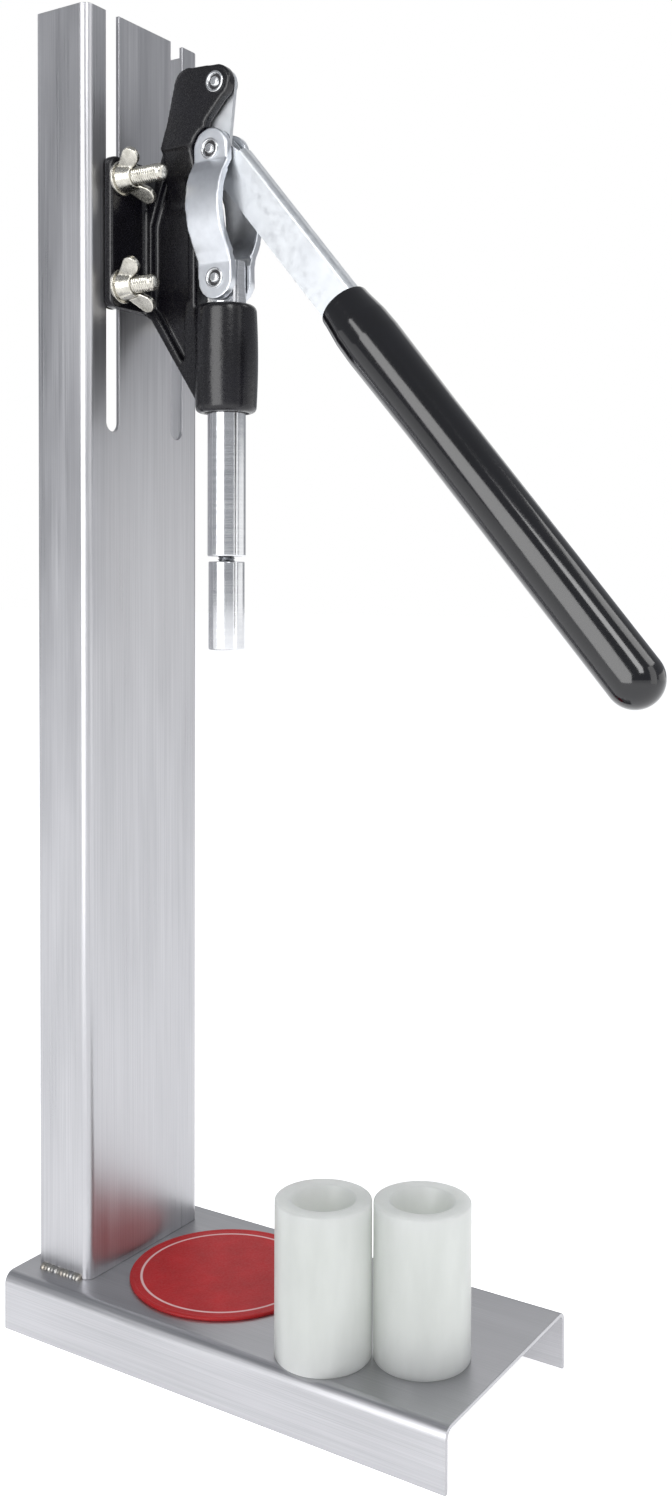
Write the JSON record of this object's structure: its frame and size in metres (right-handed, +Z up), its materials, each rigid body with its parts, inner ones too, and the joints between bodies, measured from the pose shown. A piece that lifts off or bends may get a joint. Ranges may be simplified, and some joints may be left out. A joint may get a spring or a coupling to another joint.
{
  "type": "capping machine",
  "caption": "Hand lever bench press for capping and corking bottles: a toggle lever drives a plunger from a head clamped to a slotted column on a folded base.",
  "frame": {"origin": "on the bench, under the middle of the outline seen from above, with the lever down", "axes": "+Z up along the column, +Y from the open front towards the column, +X across the base to the right seen from the front"},
  "size_m": [0.114, 0.3054, 0.627],
  "materials": {
    "base": "brushed stainless sheet",
    "column": "brushed stainless sheet",
    "welds": "bare weld bead",
    "mat": "printed vinyl",
    "casting": "black stove enamel on a casting",
    "fasteners": "zinc plated",
    "wing_nuts": "zinc plated, warm tint",
    "pins": "bright turned steel",
    "clip": "blackened spring steel",
    "lever": "bright zinc plated sheet",
    "grip": "glossy dipped vinyl",
    "links": "satin aluminium",
    "rod": "hard chromed",
    "stud": "plain steel thread",
    "sleeves": "milky translucent polythene"
  },
  "bodies": {
    "stand": {"base_channel": "base", "column_channel": "column", "column_welds": "welds", "bottle_mat": "mat"},
    "head": {"head_casting": "casting", "upper_bolts": "fasteners", "lower_bolts": "fasteners", "bolt_washers": "fasteners", "top_pivot_pin": "pins", "top_pin_clip": "clip"},
    "nut_upper_left": {"wing_nut_upper_left": "wing_nuts"},
    "nut_upper_right": {"wing_nut_upper_right": "wing_nuts"},
    "nut_lower_left": {"wing_nut_lower_left": "wing_nuts"},
    "nut_lower_right": {"wing_nut_lower_right": "wing_nuts"},
    "lever": {"lever_channel": "lever", "lever_grip": "grip"},
    "links": {"link_left": "links", "link_right": "links", "middle_pin": "pins", "lower_pin": "pins"},
    "plunger": {"plunger_rod": "rod", "tip_stud": "stud", "push_tip": "rod"},
    "sleeve_a": {"cork_sleeve_a": "sleeves"},
    "sleeve_b": {"cork_sleeve_b": "sleeves"}
  },
  "joints": [
    {"name": "head_slide", "type": "slide", "parent": "stand", "child": "head", "axis": [0, 0, 1], "range_m": [-0.06, 0.06]},
    {"name": "nut_spin_upper_left", "type": "hinge", "parent": "head", "child": "nut_upper_left", "pos_m": [-0.024, 0.10225, 0.5485], "axis": [0, -1, 0], "continuous": true},
    {"name": "nut_spin_upper_right", "type": "hinge", "parent": "head", "child": "nut_upper_right", "pos_m": [0.024, 0.10225, 0.5485], "axis": [0, -1, 0], "continuous": true},
    {"name": "nut_spin_lower_left", "type": "hinge", "parent": "head", "child": "nut_lower_left", "pos_m": [-0.024, 0.10225, 0.498], "axis": [0, -1, 0], "continuous": true},
    {"name": "nut_spin_lower_right", "type": "hinge", "parent": "head", "child": "nut_lower_right", "pos_m": [0.024, 0.10225, 0.498], "axis": [0, -1, 0], "continuous": true},
    {"name": "lever_swing", "type": "hinge", "parent": "head", "child": "lever", "pos_m": [0, 0.06275, 0.59002], "axis": [-1, 0, 0], "range_deg": [0, 70]},
    {"name": "link_swing", "type": "hinge", "parent": "lever", "child": "links", "pos_m": [0, 0.06625, 0.56002], "axis": [1, 0, 0], "range_deg": [0, 102]},
    {"name": "plunger_swing", "type": "hinge", "parent": "links", "child": "plunger", "pos_m": [0, 0.06325, 0.5], "axis": [1, 0, 0], "range_deg": [-32, 0]},
    {"name": "sleeve_lift_a", "type": "slide", "parent": "stand", "child": "sleeve_a", "axis": [0, 0, 1], "range_m": [0, 0.12]},
    {"name": "sleeve_lift_b", "type": "slide", "parent": "stand", "child": "sleeve_b", "axis": [0, 0, 1], "range_m": [0, 0.12]}
  ],
  "couplings": [
    {"joint": "link_swing", "follows": "lever_swing", "ratio": 1.452},
    {"joint": "plunger_swing", "follows": "lever_swing", "ratio": -0.452}
  ]
}
